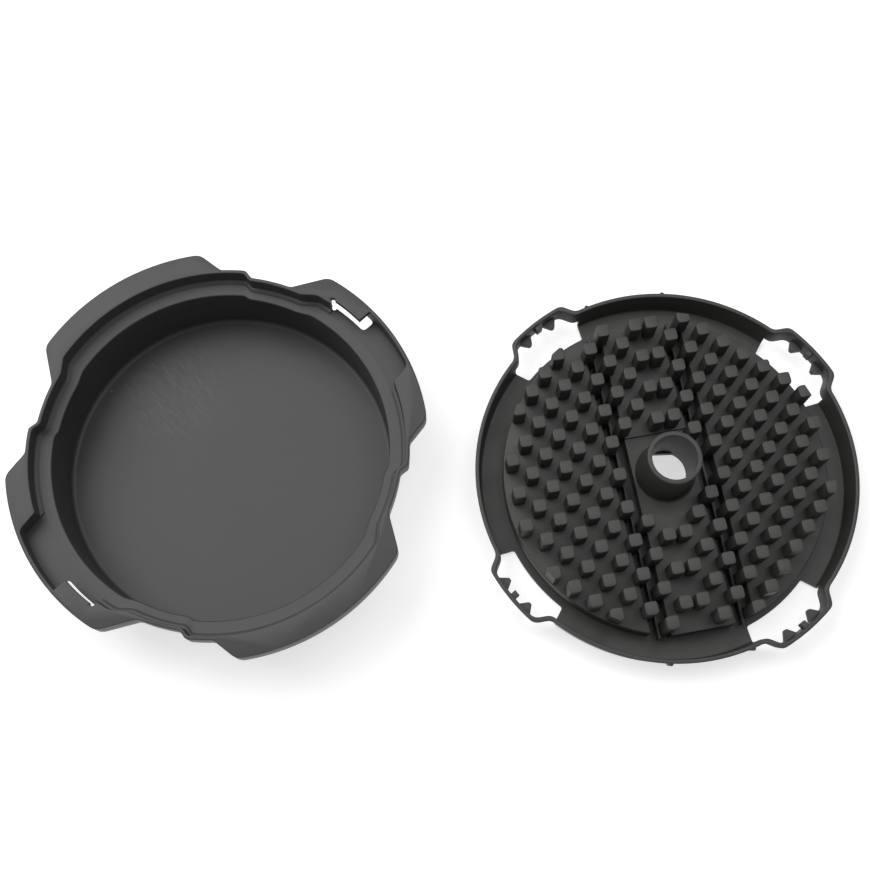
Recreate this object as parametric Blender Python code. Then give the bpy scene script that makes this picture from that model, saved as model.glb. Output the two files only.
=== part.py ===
# Cleaning tool for a dicing grid, as two loose mouldings lying side by side on a table:
# a deep round tray with four lobes, and a round plate of square pegs with a centre tube.
# Metres, +Z up. The origin is under the middle of the pair, at table height.
# The tray's lobes and the plate's lugs are given by clockwise angles seen from above.

import math

import bmesh
import bpy

# Shared sizes
CENTRE_GAP = 0.2107
TRAY_AHEAD = 0.0023
TURN = 11.1
SKIN = 0.0020
SIDES = 4

# Tray, heights
TRAY_HEIGHT = 0.0420
CROWN_DEPTH = 0.0100
RECESS_DEPTH = 0.0080
LEDGE_STEP = 0.0010
FLOOR_THICKNESS = 0.0020
FLOOR_ROUND = 0.0014

# Tray, radii, each taken outwards from the bowl
BOWL_R = 0.0790
BOWL_INSET = 0.0016
LEDGE_WIDTH = 0.0078
CROWN_WALL = 0.0018
NOTCH_DEPTH = 0.0034
LOBE_REACH = 0.0090
SHELF_R = BOWL_R + LEDGE_WIDTH + CROWN_WALL
NOTCH_R = SHELF_R - NOTCH_DEPTH
LOBE_R = SHELF_R + LOBE_REACH
LEDGE_ONE = 0.0013
LEDGE_SLOPE = 0.0010

# Tray, clockwise angles of one quarter, from the middle of its lobe
LOBE_TURN = 66.5
LOBE_HALF = 25.8
SHELF_START = 31.9
SHELF_END = 39.7
NOTCH_START = 41.9
NOTCH_END = 55.2

# Bayonet pockets of two opposite lobes
POCKET_LOBES = (0, 2)
LIP_START = -20.7
LIP_END = -10.0
WINDOW_END = -8.0
POCKET_END_OUT = 9.6
POCKET_END_IN = 14.0
LIP_THICKNESS = 0.0025
LIP_WIDTH = 0.0083
WINDOW_STEP = 0.0003
POCKET_STEP = 0.0049
EYE_STEP = 0.0013
EYE_R = 0.0017
CROWN_ROUND = 0.0040
LIP_EDGE_R = LOBE_R - LIP_WIDTH
WINDOW_R = LIP_EDGE_R - WINDOW_STEP
POCKET_R = LIP_EDGE_R - POCKET_STEP
EYE_MIDDLE = LIP_EDGE_R - EYE_STEP

# Plate, heights
PLATE_FLOOR = 0.0020
RIM_HEIGHT = 0.0165
DECK_HEIGHT = 0.0118
PEG_TOP = 0.0256
TUBE_TOP = 0.0386
HUB_HEIGHT = 0.0106
RIB_HEIGHT = 0.0076

# Plate, peg grid
PITCH = 0.0080
PEG_SIDE = 0.0061
PEG_CORNER = 0.0008
FIELD_CELLS = 9.6
HUB_CELLS = 2.5
DECK_R = 0.0778
FIELD_STEP = 0.0004
FLAT_STEP = 0.0014
FIELD_R = DECK_R - FIELD_STEP
DECK_FLAT = DECK_R - FLAT_STEP

# Plate, rim and lugs
CHANNEL_WIDTH = 0.0116
RIM_WALL = 0.0020
RIM_LEAN = 0.0019
FOOT_ROUND = 0.0010
FOOT_WALL = 0.0029
RIM_R = DECK_R + CHANNEL_WIDTH + RIM_WALL
LUG_REACH = 0.0063
LUG_R = RIM_R + LUG_REACH
LUG_TURN = 61.4
LUG_HALF = 9.4
LUG_FOOT = 12.6
LUG_ROUND = 0.0030
WINDOW_HALF = 14.4
WINDOW_HALF_IN = 12.6
LUG_LOW = 0.0076
WINDOW_STEP_IN = 0.0032
WINDOW_IN_R = DECK_R + WINDOW_STEP_IN
FIN_TURN = 4.6
FIN_LOW = 0.0080
FIN_HIGH = 0.0108
FIN_REACH = 0.0041
FIN_FOOT = 0.0074
FIN_TIP = 0.0016
STOP_WIDTH = 0.0030
STOP_REACH = 0.0040
STOP_LOW = 0.0110
STOP_HIGH = 0.0155
BEAD_R = 0.0011
BEAD_TURN = 12.2
BEAD_LOW = 0.0080
BEAD_HIGH = 0.0158

# Plate, grooves and tube
GROOVE_CELLS = 2.5
GROOVE_WIDTH = 0.0096
RIB_WIDTH = 0.0012
RIB_STEP = 0.0014
RIB_REACH = DECK_R + RIB_STEP
TUBE_R_TOP = 0.0127
TUBE_R_FOOT = 0.0138
TUBE_FOOT_ROUND = 0.0010
BORE_R = 0.0105
BORE_FLAT = 0.0098
BORE_FLAT_HEIGHT = 0.0030

# Smoothness of round stretches
ARC_STEP = 6.0
TURN_STEPS = 48
OVER = 0.0010


def clear_scene():
    for old in list(bpy.data.objects):
        bpy.data.objects.remove(old, do_unlink=True)


def spot(radius, clockwise):
    angle = math.radians(clockwise)
    return (radius * math.sin(angle), radius * math.cos(angle))


def arc(radius, start, end, step=ARC_STEP):
    count = max(1, round(abs(end - start) / step))
    return [spot(radius, start + (end - start) * i / count) for i in range(count + 1)]


def rounded(points, corners, radius, steps=3):
    """The outline with each named corner replaced by a round of about this radius."""
    result = []
    total = len(points)
    for index, (x, y) in enumerate(points):
        if index not in corners:
            result.append((x, y))
            continue
        ends = []
        for other in (points[index - 1], points[(index + 1) % total]):
            away = math.hypot(other[0] - x, other[1] - y)
            share = min(0.45, radius * 0.5 / away)
            ends.append((x + (other[0] - x) * share, y + (other[1] - y) * share))
        (ax, ay), (bx, by) = ends
        for i in range(steps + 1):
            t = i / steps
            u = 1.0 - t
            result.append(
                (u * u * ax + 2 * u * t * x + t * t * bx, u * u * ay + 2 * u * t * y + t * t * by)
            )
    return result


def new_object(name, bm):
    bmesh.ops.recalc_face_normals(bm, faces=bm.faces)
    mesh = bpy.data.meshes.new(name)
    bm.to_mesh(mesh)
    bm.free()
    made = bpy.data.objects.new(name, mesh)
    bpy.context.scene.collection.objects.link(made)
    return made


def stack(name, rings):
    """A closed solid through rings of equal point count, each a list of x, y with one height."""
    bm = bmesh.new()
    layers = []
    for outline, height in rings:
        layers.append([bm.verts.new((x, y, height)) for x, y in outline])
    count = len(layers[0])
    for low, high in zip(layers, layers[1:]):
        for i in range(count):
            j = (i + 1) % count
            bm.faces.new((low[i], low[j], high[j], high[i]))
    bm.faces.new(list(reversed(layers[0])))
    bm.faces.new(layers[-1])
    return new_object(name, bm)


def prism(name, outline, low, high):
    return stack(name, [(outline, low), (outline, high)])


def block(name, x0, x1, y0, y1, low, high):
    return prism(name, [(x0, y0), (x1, y0), (x1, y1), (x0, y1)], low, high)


def circle(radius, steps=TURN_STEPS):
    return [spot(radius, 360.0 * i / steps) for i in range(steps)]


def sector(r_in, r_out, start, end, end_in=None):
    """The outline between two radii; end_in gives the inner arc a different end."""
    inner = arc(r_in, start, end if end_in is None else end_in)
    outer = arc(r_out, start, end)
    return outer + list(reversed(inner))


def combine(target, others, operation):
    """Applies each cutter or addition to the target, then removes it."""
    for other in others:
        other.hide_render = True
        other.display_type = "WIRE"
        step = target.modifiers.new("step", "BOOLEAN")
        step.operation = operation
        step.solver = "EXACT"
        step.object = other
        graph = bpy.context.evaluated_depsgraph_get()
        graph.update()
        result = bpy.data.meshes.new_from_object(target.evaluated_get(graph))
        target.modifiers.remove(step)
        target.data = result
        bpy.data.objects.remove(other, do_unlink=True)


def tidy(made):
    bm = bmesh.new()
    bm.from_mesh(made.data)
    bmesh.ops.remove_doubles(bm, verts=bm.verts, dist=0.00001)
    bmesh.ops.dissolve_limit(
        bm, angle_limit=math.radians(0.2), verts=bm.verts, edges=bm.edges, use_dissolve_boundaries=False
    )
    bmesh.ops.triangulate(bm, faces=bm.faces, quad_method="BEAUTY", ngon_method="BEAUTY")
    bmesh.ops.recalc_face_normals(bm, faces=bm.faces)
    bm.to_mesh(made.data)
    bm.free()


def shade(made, limit=32.0):
    """Smooth shading, kept sharp where two faces meet at more than the limit."""
    for face in made.data.polygons:
        face.use_smooth = True
    bm = bmesh.new()
    bm.from_mesh(made.data)
    for edge in bm.edges:
        edge.smooth = len(edge.link_faces) == 2 and edge.calc_face_angle(0.0) < math.radians(limit)
    bm.to_mesh(made.data)
    bm.free()


def plastic(name, colour, roughness):
    material = bpy.data.materials.new(name)
    material.use_nodes = True
    shader = material.node_tree.nodes["Principled BSDF"]
    shader.inputs["Base Color"].default_value = (*colour, 1.0)
    shader.inputs["Roughness"].default_value = roughness
    return material


# Tray


def quarter_path(points_of_quarter):
    """The closed outline made of four quarters, each from the same points turned by 90 degrees."""
    outline = []
    for side in range(SIDES):
        middle = LOBE_TURN + 90.0 * side
        for radius, clockwise in points_of_quarter:
            outline.append(spot(radius, middle + clockwise))
    return outline


def arc_angles(start, end, step=ARC_STEP):
    count = max(1, round(abs(end - start) / step))
    return [start + (end - start) * i / count for i in range(count + 1)]


LOBE_ANGLES = arc_angles(-LOBE_HALF, LOBE_HALF)
SHELF_ANGLES = arc_angles(SHELF_START, SHELF_END)
NOTCH_ANGLES = arc_angles(NOTCH_START, NOTCH_END)
MAIN_ANGLES = arc_angles(-LOBE_HALF, SHELF_END - 0.4)
CHEEK_ANGLES = arc_angles(NOTCH_START - 0.4, 90.0 - LOBE_HALF - 5.0)


def crown_outline():
    points = [(LOBE_R, a) for a in LOBE_ANGLES]
    points += [(SHELF_R, a) for a in SHELF_ANGLES]
    points += [(NOTCH_R, a) for a in NOTCH_ANGLES]
    ends = (0, len(LOBE_ANGLES) - 1)
    corners = [side * len(points) + end for side in range(SIDES) for end in ends]
    return rounded(quarter_path(points), corners, CROWN_ROUND, 2)


def crown_shadow(radius):
    """A plain circle with one point for each point of the crown's outline."""
    lengths = [(x, y, math.hypot(x, y)) for x, y in crown_outline()]
    return [(x * radius / away, y * radius / away) for x, y, away in lengths]


def recess_outline(main, notch):
    points = [(main, a) for a in MAIN_ANGLES] + [(notch, a) for a in CHEEK_ANGLES]
    return quarter_path(points)


def tray_body():
    shoulder = TRAY_HEIGHT - CROWN_DEPTH
    wall_r = BOWL_R + SKIN
    rings = [
        (crown_shadow(wall_r - FLOOR_ROUND), 0.0),
        (crown_shadow(wall_r - FLOOR_ROUND * 0.3), FLOOR_ROUND * 0.3),
        (crown_shadow(wall_r), FLOOR_ROUND),
        (crown_shadow(wall_r), shoulder),
        (crown_outline(), shoulder),
        (crown_outline(), TRAY_HEIGHT),
    ]
    return stack("grid_tray", rings)


def tray_hollow():
    """Everything open above the floor: bowl, ledge and recess, as one cutter."""
    ledge = TRAY_HEIGHT - RECESS_DEPTH
    low_ledge = ledge - LEDGE_STEP
    main = SHELF_R - CROWN_WALL
    notch = NOTCH_R - CROWN_WALL
    offset = main - notch
    one = main - LEDGE_ONE
    two = one - LEDGE_SLOPE
    inset = BOWL_R - BOWL_INSET
    edge = 0.0006
    rings = []
    for part in (0.0, 0.5, 1.0):
        angle = math.radians(90.0 * part)
        radius = BOWL_R - FLOOR_ROUND * (1.0 - math.sin(angle))
        height = FLOOR_THICKNESS + FLOOR_ROUND * (1.0 - math.cos(angle))
        rings.append((recess_outline(radius, radius), height))
    rings += [
        (recess_outline(BOWL_R, BOWL_R), low_ledge - 0.0050),
        (recess_outline(BOWL_R, inset), low_ledge - 0.0030),
        (recess_outline(BOWL_R, inset), low_ledge - edge),
        (recess_outline(BOWL_R + edge, inset + edge), low_ledge),
        (recess_outline(two, two - offset), low_ledge),
        (recess_outline(one, one - offset), ledge),
        (recess_outline(main - edge, notch - edge), ledge),
        (recess_outline(main, notch), ledge + edge),
        (recess_outline(main, notch), TRAY_HEIGHT + OVER),
    ]
    return stack("hollow", rings)


def lobe_cavities():
    """The open space under each lobe, seen only from below."""
    low = TRAY_HEIGHT - CROWN_DEPTH - OVER
    high = TRAY_HEIGHT - SKIN
    reach = LOBE_R - CROWN_WALL
    cutters = []
    for side in range(SIDES):
        middle = LOBE_TURN + 90.0 * side
        start = POCKET_END_IN + 1.5 if side in POCKET_LOBES else -LOBE_HALF + 2.5
        outline = sector(SHELF_R, reach, middle + start, middle + LOBE_HALF - 1.5)
        cutters.append(prism("cavity", outline, low, high))
    return cutters


def pocket_cutters(middle):
    """One bayonet pocket: the open pocket, the space under the lip and the window below it."""
    top = TRAY_HEIGHT + OVER
    ledge = TRAY_HEIGHT - RECESS_DEPTH
    low_ledge = ledge - LEDGE_STEP
    under_lip = TRAY_HEIGHT - LIP_THICKNESS
    below = TRAY_HEIGHT - CROWN_DEPTH - OVER
    reach = LOBE_R - CROWN_WALL
    inside = POCKET_R
    pocket = sector(inside, reach, middle + LIP_END, middle + POCKET_END_OUT, middle + POCKET_END_IN)
    slot = sector(inside, reach, middle + LIP_START, middle + LIP_END + 0.5)
    edge = sector(inside, LIP_EDGE_R, middle + LIP_START, middle + LIP_END + 0.5)
    window = sector(WINDOW_R, reach, middle + LIP_START, middle + WINDOW_END)
    eye_x, eye_y = spot(EYE_MIDDLE, middle + LIP_START)
    eye = [(eye_x + x, eye_y + y) for x, y in circle(EYE_R, 12)]
    return [
        prism("window", window, below, ledge + OVER),
        prism("eye", eye, below, top),
        prism("pocket", pocket, low_ledge, top),
        prism("slot", slot, low_ledge, under_lip),
        prism("lip_edge", edge, low_ledge, top),
    ]


def build_tray():
    tray = tray_body()
    combine(tray, [tray_hollow()], "DIFFERENCE")
    combine(tray, lobe_cavities(), "DIFFERENCE")
    for side in POCKET_LOBES:
        combine(tray, pocket_cutters(LOBE_TURN + 90.0 * side), "DIFFERENCE")
    return tray


# Peg plate


def lug_middles():
    return [LUG_TURN + 90.0 * side for side in range(SIDES)]


def rim_outline(inset):
    """The rim's outline, out round each lug; inset moves it inwards by the wall."""
    outline = []
    corners = []
    radius = RIM_R - inset
    crest = LUG_R - inset
    narrow = math.degrees(inset / LUG_R) * 0.8
    for middle in lug_middles():
        foot = LUG_FOOT - narrow
        half = LUG_HALF - narrow
        corners.append(len(outline))
        outline.append(spot(radius, middle - foot))
        corners.append(len(outline))
        outline += arc(crest, middle - half, middle + half)
        corners.append(len(outline) - 1)
        corners.append(len(outline))
        outline.append(spot(radius, middle + foot))
        outline += arc(radius, middle + foot + 3.0, middle + 90.0 - foot - 3.0)
    return rounded(outline, corners, LUG_ROUND)


def turned_to(outline, clockwise):
    """The outline drawn along +Y, turned so that +Y points to this clockwise angle."""
    angle = math.radians(clockwise)
    sin = math.sin(angle)
    cos = math.cos(angle)
    return [(x * cos + y * sin, y * cos - x * sin) for x, y in outline]


def lean_out(height):
    """How far the rim's outer face stands inside its top edge at this height."""
    return RIM_LEAN * (RIM_HEIGHT - height) / (RIM_HEIGHT - FOOT_ROUND)


def lean_in(height):
    """How far the rim's inner face stands inside the top outer edge at this height."""
    return RIM_WALL + (FOOT_WALL - RIM_WALL) * (RIM_HEIGHT - height) / (RIM_HEIGHT - PLATE_FLOOR)


def plate_dish():
    """The round dish, its rim leaning outwards so that only the top edge shows from above."""
    outer = [
        (rim_outline(RIM_LEAN + FOOT_ROUND), 0.0),
        (rim_outline(RIM_LEAN), FOOT_ROUND),
        (rim_outline(0.0), RIM_HEIGHT),
    ]
    above = RIM_HEIGHT + OVER
    inner = [(rim_outline(FOOT_WALL), PLATE_FLOOR), (rim_outline(lean_in(above)), above)]
    dish = stack("peg_plate", outer)
    combine(dish, [stack("inside", inner)], "DIFFERENCE")
    return dish


def lug_windows():
    """The open floor behind each lug; the cut runs on out below the lug, whose wall ends above it."""
    cutters = []
    for middle in lug_middles():
        inner = arc(WINDOW_IN_R, middle - WINDOW_HALF_IN, middle + WINDOW_HALF_IN)
        outer = arc(LUG_R + OVER, middle - WINDOW_HALF, middle + WINDOW_HALF)
        cutters.append(prism("window", outer + list(reversed(inner)), -OVER, LUG_LOW))
    return cutters


def lug_fittings():
    """Two pointed fins and a square stop inside each lug."""
    face = LUG_R - lean_in(FIN_LOW)
    wall = face + OVER
    half_foot = FIN_FOOT / 2
    half_tip = FIN_TIP / 2
    tip = face - FIN_REACH
    fin = [
        (-half_foot, wall),
        (-half_foot, face),
        (-half_tip * 1.6, tip + FIN_TIP),
        (-half_tip * 0.7, tip),
        (half_tip * 0.7, tip),
        (half_tip * 1.6, tip + FIN_TIP),
        (half_foot, face),
        (half_foot, wall),
    ]
    half = STOP_WIDTH / 2
    face = LUG_R - lean_in(STOP_LOW)
    wall = face + OVER
    stop = [(-half, wall), (-half, face - STOP_REACH), (half, face - STOP_REACH), (half, wall)]
    made = []
    for middle in lug_middles():
        for turn in (-FIN_TURN, FIN_TURN):
            made.append(prism("fin", turned_to(fin, middle + turn), FIN_LOW, FIN_HIGH))
        made.append(prism("stop", turned_to(stop, middle), STOP_LOW, STOP_HIGH))
    return made


def rim_beads():
    made = []
    for pole in (0.0, 180.0):
        for turn in (-BEAD_TURN, BEAD_TURN):
            rings = []
            for height in (BEAD_LOW, BEAD_HIGH):
                x, y = spot(RIM_R - lean_out(height), pole + turn)
                rings.append(([(x + px, y + py) for px, py in circle(BEAD_R, 10)], height))
            made.append(stack("bead", rings))
    return made


def deck():
    """The raised round deck, flat at both ends between the grooves, cut by two grooves and the hub."""
    groove_x = GROOVE_CELLS * PITCH
    half = GROOVE_WIDTH / 2
    low = PLATE_FLOOR / 2
    raised = prism("deck", circle(DECK_R, 72), low, DECK_HEIGHT)
    far = DECK_R + OVER
    strip = groove_x - half
    cuts = []
    for sign in (-1, 1):
        x = sign * groove_x
        cuts.append(block("groove", x - half, x + half, -far, far, PLATE_FLOOR, DECK_HEIGHT + OVER))
        y0, y1 = sorted((sign * DECK_FLAT, sign * far))
        cuts.append(block("flat", -strip, strip, y0, y1, PLATE_FLOOR, DECK_HEIGHT + OVER))
    reach = HUB_CELLS * PITCH
    cuts.append(block("hub", -strip, strip, -reach, reach, HUB_HEIGHT, DECK_HEIGHT + OVER))
    combine(raised, cuts, "DIFFERENCE")
    return raised


def has_peg(column, row):
    """True where the grid keeps a peg: every other cell, the two halves being staggered."""
    away = math.hypot(column, row)
    if away < HUB_CELLS or away > FIELD_CELLS:
        return False
    left = column < 0 or (column == 0 and row > 0)
    return (column + row) % 2 == (1 if left else 0)


def peg_outline(x, y):
    half = PEG_SIDE / 2
    near = half - PEG_CORNER
    corner = [(half, near), (near, half), (-near, half), (-half, near)]
    corner += [(-half, -near), (-near, -half), (near, -half), (half, -near)]
    return [(x + px, y + py) for px, py in corner]


def peg_field():
    """All the pegs as one mesh, trimmed by the round edge of the field."""
    bm = bmesh.new()
    cells = math.ceil(FIELD_CELLS)
    low = PLATE_FLOOR / 2
    for column in range(-cells, cells + 1):
        for row in range(-cells, cells + 1):
            if not has_peg(column, row):
                continue
            outline = peg_outline(column * PITCH, row * PITCH)
            foot = [bm.verts.new((x, y, low)) for x, y in outline]
            top = [bm.verts.new((x, y, PEG_TOP)) for x, y in outline]
            for i in range(len(outline)):
                j = (i + 1) % len(outline)
                bm.faces.new((foot[i], foot[j], top[j], top[i]))
            bm.faces.new(list(reversed(foot)))
            bm.faces.new(top)
    pegs = new_object("pegs", bm)
    combine(pegs, [prism("field", circle(FIELD_R, 72), 0.0, PEG_TOP + OVER)], "INTERSECT")
    return pegs


def groove_ribs():
    ribs = []
    for sign in (-1, 1):
        x = sign * GROOVE_CELLS * PITCH
        end = math.sqrt(RIB_REACH**2 - x**2)
        half = RIB_WIDTH / 2
        ribs.append(block("rib", x - half, x + half, -end, end, PLATE_FLOOR / 2, RIB_HEIGHT))
    return ribs


def underside_pockets():
    """Plain hollows under the deck and the hub, which keep their walls thin."""
    high = DECK_HEIGHT - SKIN
    reach = HUB_CELLS * PITCH - SKIN
    groove = GROOVE_CELLS * PITCH
    side = groove + GROOVE_WIDTH / 2 + SKIN
    strip = groove - GROOVE_WIDTH / 2 - SKIN
    hub = HUB_CELLS * PITCH + SKIN
    far = DECK_R + OVER
    cutters = []
    for sign in (-1, 1):
        x0, x1 = sorted((sign * side, sign * far))
        y0, y1 = sorted((sign * hub, sign * far))
        cutters.append(block("outer", x0, x1, -far, far, -OVER, high))
        cutters.append(block("strip", -strip, strip, y0, y1, -OVER, high))
    for cutter in cutters:
        bound = prism("bound", circle(DECK_FLAT - SKIN, 72), -2 * OVER, high + OVER)
        combine(cutter, [bound], "INTERSECT")
    cutters.append(block("hub", -strip, strip, -reach, reach, -OVER, HUB_HEIGHT - SKIN))
    return cutters


def tube():
    ring = TUBE_R_FOOT + TUBE_FOOT_ROUND
    rings = [
        (circle(ring), 0.0),
        (circle(ring), HUB_HEIGHT + 0.0002),
        (circle(TUBE_R_FOOT + TUBE_FOOT_ROUND * 0.3), HUB_HEIGHT + TUBE_FOOT_ROUND * 0.3),
        (circle(TUBE_R_FOOT), HUB_HEIGHT + TUBE_FOOT_ROUND),
        (circle(TUBE_R_TOP), TUBE_TOP - 0.0004),
        (circle(TUBE_R_TOP - 0.0004), TUBE_TOP),
    ]
    return stack("tube", rings)


def bore():
    """The hole through the tube, with a flat on one side at its lower end."""
    hole = prism("bore", circle(BORE_R), -OVER, TUBE_TOP + OVER)
    flat = block("flat", -BORE_R, BORE_R, BORE_FLAT, BORE_R + OVER, -2 * OVER, BORE_FLAT_HEIGHT)
    combine(hole, [flat], "DIFFERENCE")
    return hole


def build_plate():
    plate = plate_dish()
    combine(plate, lug_windows(), "DIFFERENCE")
    combine(plate, lug_fittings() + rim_beads(), "UNION")
    combine(plate, [deck(), peg_field()] + groove_ribs(), "UNION")
    combine(plate, underside_pockets(), "DIFFERENCE")
    combine(plate, [tube()], "UNION")
    combine(plate, [bore()], "DIFFERENCE")
    return plate


def place(made, x, y):
    """Turns the piece to its lie on the table and moves its mesh there."""
    angle = math.radians(TURN)
    sin = math.sin(angle)
    cos = math.cos(angle)
    for vertex in made.data.vertices:
        px, py, pz = vertex.co
        vertex.co = (px * cos - py * sin + x, px * sin + py * cos + y, pz)


def centre_on_footprint(pieces):
    spots = [vertex.co.copy() for made in pieces for vertex in made.data.vertices]
    x_mid = (min(s.x for s in spots) + max(s.x for s in spots)) / 2
    y_mid = (min(s.y for s in spots) + max(s.y for s in spots)) / 2
    for made in pieces:
        for vertex in made.data.vertices:
            vertex.co.x -= x_mid
            vertex.co.y -= y_mid


def main():
    clear_scene()
    tray = build_tray()
    plate = build_plate()
    for made, x, y in ((tray, -CENTRE_GAP / 2, TRAY_AHEAD), (plate, CENTRE_GAP / 2, 0.0)):
        tidy(made)
        place(made, x, y)
    centre_on_footprint([tray, plate])
    for made in (tray, plate):
        shade(made)
        made.data.materials.clear()
    tray.data.materials.append(plastic("tray_plastic", (0.045, 0.045, 0.046), 0.55))
    plate.data.materials.append(plastic("plate_plastic", (0.045, 0.045, 0.046), 0.55))


main()
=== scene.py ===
# Looks for the dicing grid cleaning tool: a lobed tray and a plate of square pegs in matte black
# moulded plastic, lying side by side on a white table. Metres, +Z up.
import math

import bmesh
import bpy
from mathutils import Euler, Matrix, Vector


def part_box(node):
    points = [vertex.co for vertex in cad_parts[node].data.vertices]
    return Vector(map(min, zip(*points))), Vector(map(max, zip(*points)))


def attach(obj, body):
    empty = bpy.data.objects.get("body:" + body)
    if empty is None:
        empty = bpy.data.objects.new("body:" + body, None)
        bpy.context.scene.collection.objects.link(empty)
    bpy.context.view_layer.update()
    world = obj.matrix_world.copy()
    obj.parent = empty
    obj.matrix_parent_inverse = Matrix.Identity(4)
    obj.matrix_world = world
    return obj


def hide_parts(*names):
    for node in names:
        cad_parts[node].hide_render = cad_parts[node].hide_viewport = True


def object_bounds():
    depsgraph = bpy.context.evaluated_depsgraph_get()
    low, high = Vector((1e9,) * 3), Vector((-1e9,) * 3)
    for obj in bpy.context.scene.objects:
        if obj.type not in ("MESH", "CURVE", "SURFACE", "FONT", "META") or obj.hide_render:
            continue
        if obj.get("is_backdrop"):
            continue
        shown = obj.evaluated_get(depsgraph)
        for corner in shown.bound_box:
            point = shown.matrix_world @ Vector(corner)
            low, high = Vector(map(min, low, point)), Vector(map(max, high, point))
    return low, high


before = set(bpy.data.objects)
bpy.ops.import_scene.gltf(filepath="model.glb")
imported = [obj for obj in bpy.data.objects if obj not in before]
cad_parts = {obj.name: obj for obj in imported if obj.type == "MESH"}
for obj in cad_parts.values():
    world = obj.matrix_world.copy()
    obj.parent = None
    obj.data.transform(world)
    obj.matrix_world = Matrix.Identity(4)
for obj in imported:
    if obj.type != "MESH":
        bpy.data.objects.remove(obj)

cad_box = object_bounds()

# Lie and making of both pieces
TURN = 11.1
SIDES = 4
QUARTER = 360.0 / SIDES
QUARTERS = [QUARTER * side for side in range(SIDES)]
OVER = 0.0010
EDGE = 0.0005
CUT_EDGE = 0.0003
NEAREST = 0.0002
MERGE = 0.000005
SMOOTH_BELOW = 34.0
ROUND_STEPS = 240
SMALL_STEPS = 24

# Tray
TRAY_HEIGHT = 0.0420
CROWN_DEPTH = 0.0100
RECESS_DEPTH = 0.0080
LEDGE_STEP = 0.0010
SKIN = 0.0020
FLOOR_ROUND = 0.0014
FLOOR_FILLET = 0.0022
LEDGE_FILLET = 0.00025
BOWL_EDGE = 0.0007
BOWL_R = 0.0790
BOWL_INSET = 0.0016
LEDGE_WIDTH = 0.0078
CROWN_WALL = 0.0018
NOTCH_DEPTH = 0.0034
LOBE_REACH = 0.0090
SHELF_R = BOWL_R + LEDGE_WIDTH + CROWN_WALL
NOTCH_R = SHELF_R - NOTCH_DEPTH
LOBE_R = SHELF_R + LOBE_REACH
LEDGE_ONE = 0.0013
LEDGE_SLOPE = 0.0010
LOBE_TURN = 66.5
LOBE_HALF = 25.8
SHELF_START = 31.9
SHELF_END = 39.7
NOTCH_START = 41.9
NOTCH_END = 55.2
LOBE_ROUND = 0.0030
SHELF_ROUND = LOBE_ROUND / 2
STEP_ROUND = 0.0012
RECESS_SHIFT = 0.4
RECESS_LEAD = 5.0
MOUTH_DEPTH = 0.0050
SLOPE_REACH = 0.0002
SLOPE_DROP = 0.00012
SLOPE_NEAR = 0.15
SLOPE_FAR = 0.85
CAVITY_START = 2.5
CAVITY_GAP = 1.5

# Bayonet pockets
POCKET_LOBES = (0, 2)
LIP_START = -20.7
LIP_END = -10.0
WINDOW_END = -8.5
SLOT_BACK = 2.2
POCKET_END_OUT = 9.6
POCKET_END_IN = 14.0
LIP_THICKNESS = 0.0025
LIP_WIDTH = 0.0083
WINDOW_STEP = 0.0003
POCKET_STEP = 0.0049
EYE_STEP = 0.0006
EYE_R = 0.0013
LIP_EDGE_R = LOBE_R - LIP_WIDTH
WINDOW_R = LIP_EDGE_R - WINDOW_STEP
POCKET_R = LIP_EDGE_R - POCKET_STEP
EYE_MIDDLE = LIP_EDGE_R - EYE_STEP
POCKET_ROUND = 0.0022
LIP_OVERLAP = 0.5

# Plate
PLATE_FLOOR = 0.0020
RIM_HEIGHT = 0.0165
DECK_HEIGHT = 0.0118
PEG_TOP = 0.0256
TUBE_TOP = 0.0386
HUB_HEIGHT = 0.0106
RIB_HEIGHT = 0.0076
PITCH = 0.0080
PEG_SIDE = 0.0061
PEG_CORNER = 0.0014
PEG_EDGE = 0.0004
FIELD_CELLS = 9.6
HUB_CELLS = 2.5
DECK_R = 0.0778
FIELD_STEP = 0.0004
FLAT_STEP = 0.0014
FIELD_R = DECK_R - FIELD_STEP
DECK_FLAT = DECK_R - FLAT_STEP
DECK_ROUND = 0.0006
CHANNEL_WIDTH = 0.0116
RIM_WALL = 0.0020
RIM_LEAN = 0.0019
FOOT_ROUND = 0.0010
FOOT_WALL = 0.0029
RIM_FILLET = 0.0010
RIM_R = DECK_R + CHANNEL_WIDTH + RIM_WALL
LUG_REACH = 0.0063
LUG_R = RIM_R + LUG_REACH
LUG_TURN = 61.4
LUG_HALF = 9.4
LUG_FOOT = 12.6
LUG_ROUND = 0.0024
LUG_NARROWING = 0.8
LUG_STEPS = 6
RIM_STEPS = 28
WINDOW_HALF = 14.4
WINDOW_HALF_IN = 12.6
LUG_LOW = 0.0076
WINDOW_STEP_IN = 0.0032
WINDOW_IN_R = DECK_R + WINDOW_STEP_IN
WINDOW_ROUND = 0.0012
FIN_TURN = 4.6
FIN_LOW = 0.0080
FIN_HIGH = 0.0108
FIN_REACH = 0.0041
FIN_FOOT = 0.0074
FIN_TIP = 0.0016
FIN_ROUND = 0.0006
FIN_EDGE = 0.0002
STOP_WIDTH = 0.0030
STOP_REACH = 0.0024
STOP_LOW = 0.0110
STOP_HIGH = 0.0155
STOP_EDGE = 0.0003
BEAD_R = 0.0011
BEAD_TURN = 12.2
BEAD_LOW = 0.0080
BEAD_HIGH = 0.0158
BEAD_EDGE = 0.0003
BEAD_STEPS = 16
GROOVE_CELLS = 2.5
GROOVE_WIDTH = 0.0096
RIB_WIDTH = 0.0012
RIB_STEP = 0.0014
RIB_REACH = DECK_R + RIB_STEP
RIB_EDGE = 0.0002
TUBE_R_TOP = 0.0127
TUBE_R_FOOT = 0.0138
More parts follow.
